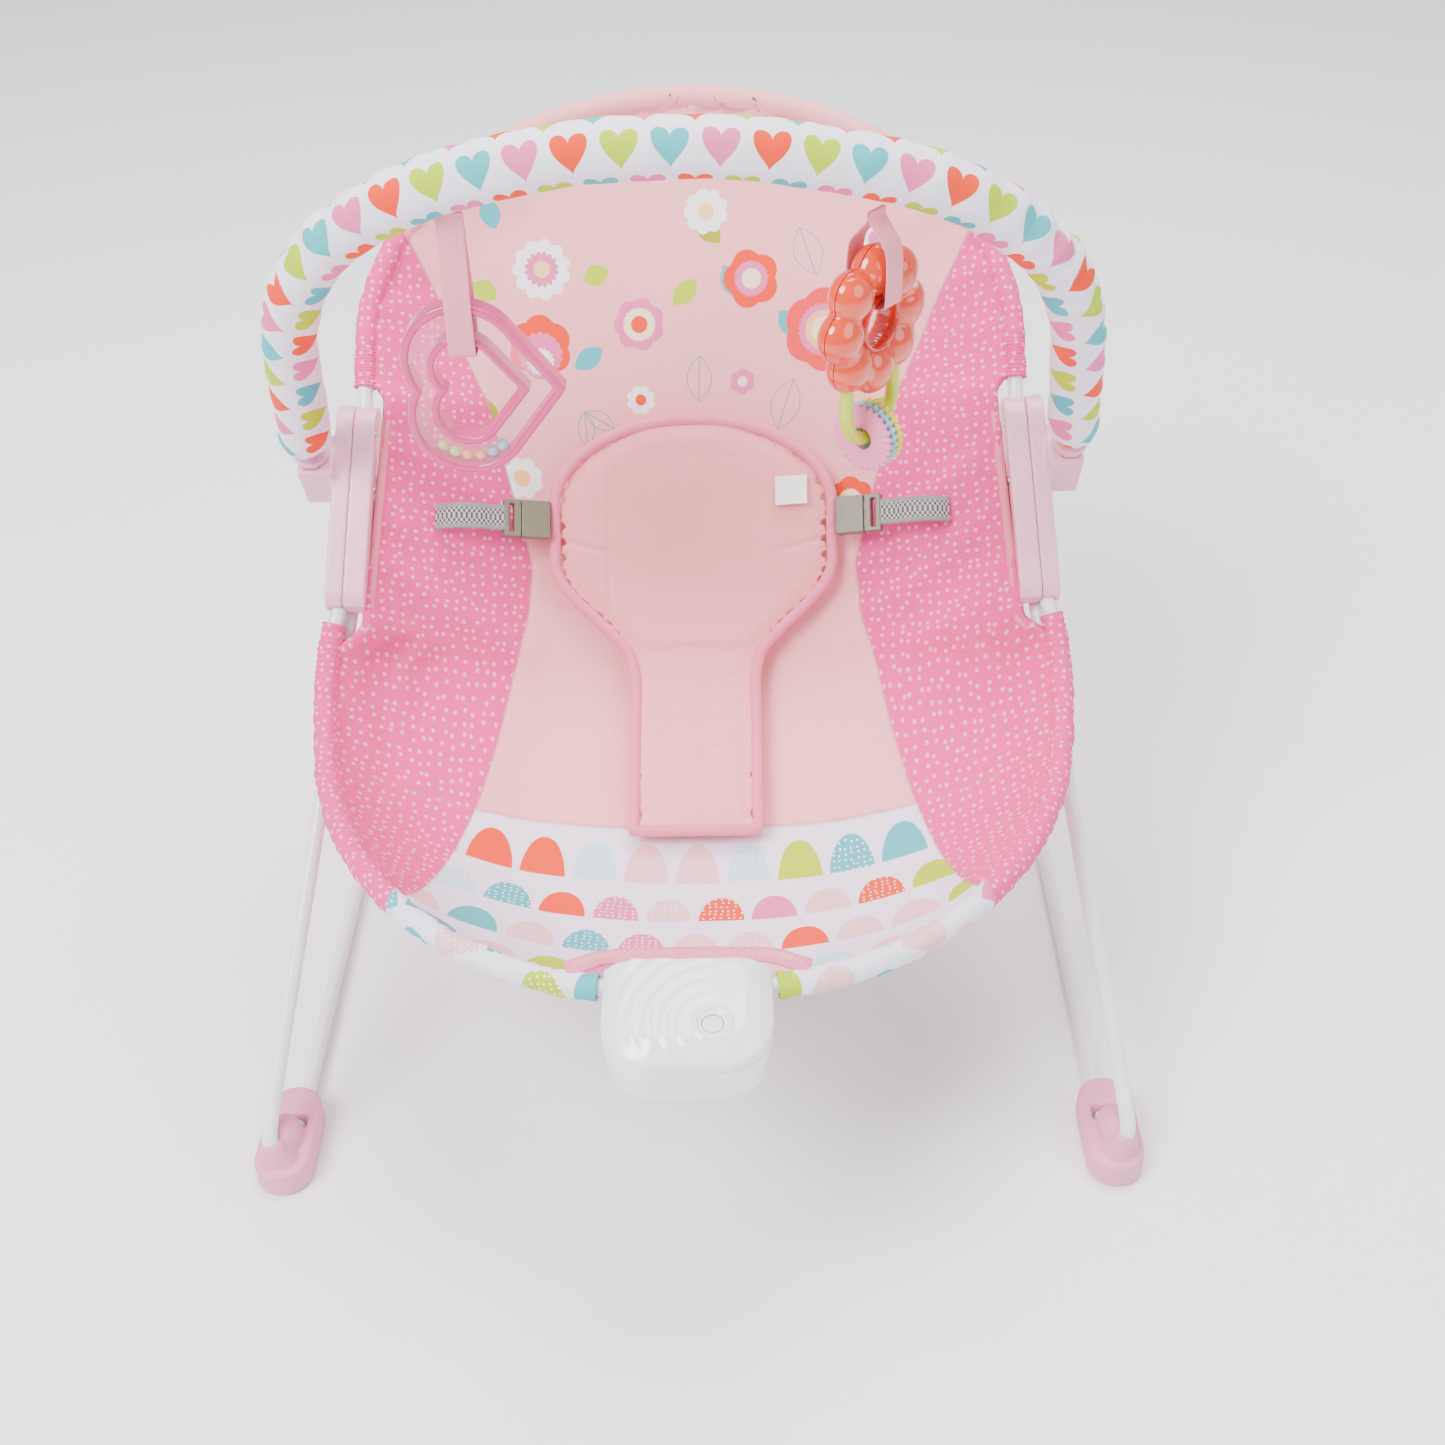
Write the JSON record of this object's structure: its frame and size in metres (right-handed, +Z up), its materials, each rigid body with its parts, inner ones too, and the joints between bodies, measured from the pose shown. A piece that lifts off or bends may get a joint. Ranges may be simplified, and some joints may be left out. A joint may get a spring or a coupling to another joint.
{
  "type": "baby bouncer seat",
  "caption": "Sprung wire-frame baby bouncer with a printed hammock seat, harness, vibration unit and a lift-off toy bar with a heart rattle and flower teether.",
  "frame": {"origin": "on the floor at the centre of the footprint", "axes": "+X to the seated child's left, +Y to the head end, +Z up"},
  "size_m": [0.489, 0.58, 0.5299],
  "materials": {
    "white_steel": "gloss powder coat",
    "foot_rubber": "satin",
    "hub_plastic": "satin",
    "screw_steel": "satin",
    "seat_cloth": "printed plain weave",
    "dotted_cloth": "printed plain weave",
    "pale_cloth": "plain weave",
    "webbing": "woven webbing",
    "tag_cloth": "satin ribbon",
    "buckle_plastic": "satin",
    "white_plastic": "gloss",
    "board_plastic": "satin",
    "cell_wrap": "gloss",
    "contact_steel": "satin",
    "brass": "satin",
    "heart_cloth": "printed plain weave",
    "pink_plastic": "gloss",
    "clear_plastic": "clear gloss",
    "bead_plastic": "gloss",
    "orange_plastic": "gloss",
    "lime_plastic": "gloss",
    "pink_rubber": "satin",
    "blue_rubber": "satin",
    "yellow_rubber": "satin"
  },
  "bodies": {
    "base": {"base_tube": "white_steel", "front_foot_left": "foot_rubber", "front_foot_right": "foot_rubber", "rear_foot_left": "foot_rubber", "rear_foot_right": "foot_rubber"},
    "seat": {"leg_tube_left": "white_steel", "leg_tube_right": "white_steel", "seat_tube": "white_steel", "back_tube": "white_steel", "hub_outer_left": "hub_plastic", "hub_outer_right": "hub_plastic", "hub_inner_left": "hub_plastic", "hub_inner_right": "hub_plastic", "hub_screws": "screw_steel", "seat_pad": "seat_cloth", "seat_hem": "dotted_cloth", "back_hem": "pale_cloth", "crotch_pad": "pale_cloth", "side_tag": "tag_cloth", "waist_strap_left": "webbing", "waist_strap_right": "webbing", "buckle_socket_left": "buckle_plastic", "buckle_socket_right": "buckle_plastic", "unit_top_cover": "white_plastic", "unit_bottom_cover": "white_plastic", "unit_clamp": "white_plastic", "unit_screws": "screw_steel", "circuit_board": "board_plastic", "battery_cell": "cell_wrap", "battery_contacts": "contact_steel", "vibration_motor": "contact_steel"},
    "button": {"power_button": "white_plastic"},
    "door": {"battery_door": "white_plastic", "door_screw": "screw_steel"},
    "weight": {"motor_weight": "brass"},
    "plug_left": {"buckle_plug_left": "buckle_plastic"},
    "plug_right": {"buckle_plug_right": "buckle_plastic"},
    "toy_bar": {"toy_bar_tube": "white_steel", "toy_bar_sleeve": "heart_cloth", "toy_bar_plug_left": "hub_plastic", "toy_bar_plug_right": "hub_plastic"},
    "heart": {"heart_ribbon": "pale_cloth", "heart_outer_rim": "pink_plastic", "heart_inner_rim": "pink_plastic", "heart_window_front": "clear_plastic", "heart_window_back": "clear_plastic"},
    "beads": {"heart_beads": "bead_plastic"},
    "flower": {"flower_ribbon": "pale_cloth", "flower_front": "orange_plastic", "flower_back": "orange_plastic", "loop_handle": "lime_plastic"},
    "pink": {"pink_disc": "pink_rubber"},
    "blue": {"blue_disc": "blue_rubber"},
    "yellow": {"yellow_disc": "yellow_rubber"}
  },
  "joints": [
    {"name": "bounce", "type": "hinge", "parent": "base", "child": "seat", "pos_m": [0, -0.192, 0.0205], "axis": [1, 0, 0], "range_deg": [-5, 4], "stiffness_Nm_per_rad": 100, "springref_deg": 1.8},
    {"name": "toy_bar_lift", "type": "slide", "parent": "seat", "child": "toy_bar", "axis": [0, -0.4384, 0.8988], "range_m": [0, 0.05]},
    {"name": "heart_swing", "type": "hinge", "parent": "toy_bar", "child": "heart", "pos_m": [-0.1, -0.04013, 0.48704], "axis": [1, 0, 0], "range_deg": [-30, 30]},
    {"name": "bead_roll", "type": "hinge", "parent": "heart", "child": "beads", "pos_m": [-0.105, -0.04013, 0.38204], "axis": [0, 1, 0], "range_deg": [-25, 25]},
    {"name": "flower_swing", "type": "hinge", "parent": "toy_bar", "child": "flower", "pos_m": [0.092, -0.04013, 0.48704], "axis": [1, 0, 0], "range_deg": [-30, 30]},
    {"name": "pink_disc_spin", "type": "hinge", "parent": "flower", "child": "pink", "pos_m": [0.08917, -0.0435, 0.36754], "axis": [0.6428, 0.766, 0], "continuous": true},
    {"name": "blue_disc_spin", "type": "hinge", "parent": "flower", "child": "blue", "pos_m": [0.092, -0.04013, 0.36754], "axis": [0.6428, 0.766, 0], "continuous": true},
    {"name": "yellow_disc_spin", "type": "hinge", "parent": "flower", "child": "yellow", "pos_m": [0.09483, -0.03676, 0.36754], "axis": [0.6428, 0.766, 0], "continuous": true},
    {"name": "button_press", "type": "slide", "parent": "seat", "child": "button", "axis": [0, 0, -1], "range_m": [0, 0.0015], "stiffness_N_per_m": 300},
    {"name": "door_lift_off", "type": "slide", "parent": "seat", "child": "door", "axis": [0, 0, -1], "range_m": [0, 0.03]},
    {"name": "weight_spin", "type": "hinge", "parent": "seat", "child": "weight", "pos_m": [0.0275, -0.263, 0.173], "axis": [0, 1, 0], "continuous": true},
    {"name": "buckle_left_release", "type": "slide", "parent": "seat", "child": "plug_left", "axis": [-0.9272, -0.274, 0.2555], "range_m": [0, 0.018], "deforming": ["waist_strap_left"]},
    {"name": "buckle_right_release", "type": "slide", "parent": "seat", "child": "plug_right", "axis": [0.9272, -0.274, 0.2555], "range_m": [0, 0.018], "deforming": ["waist_strap_right"]}
  ]
}
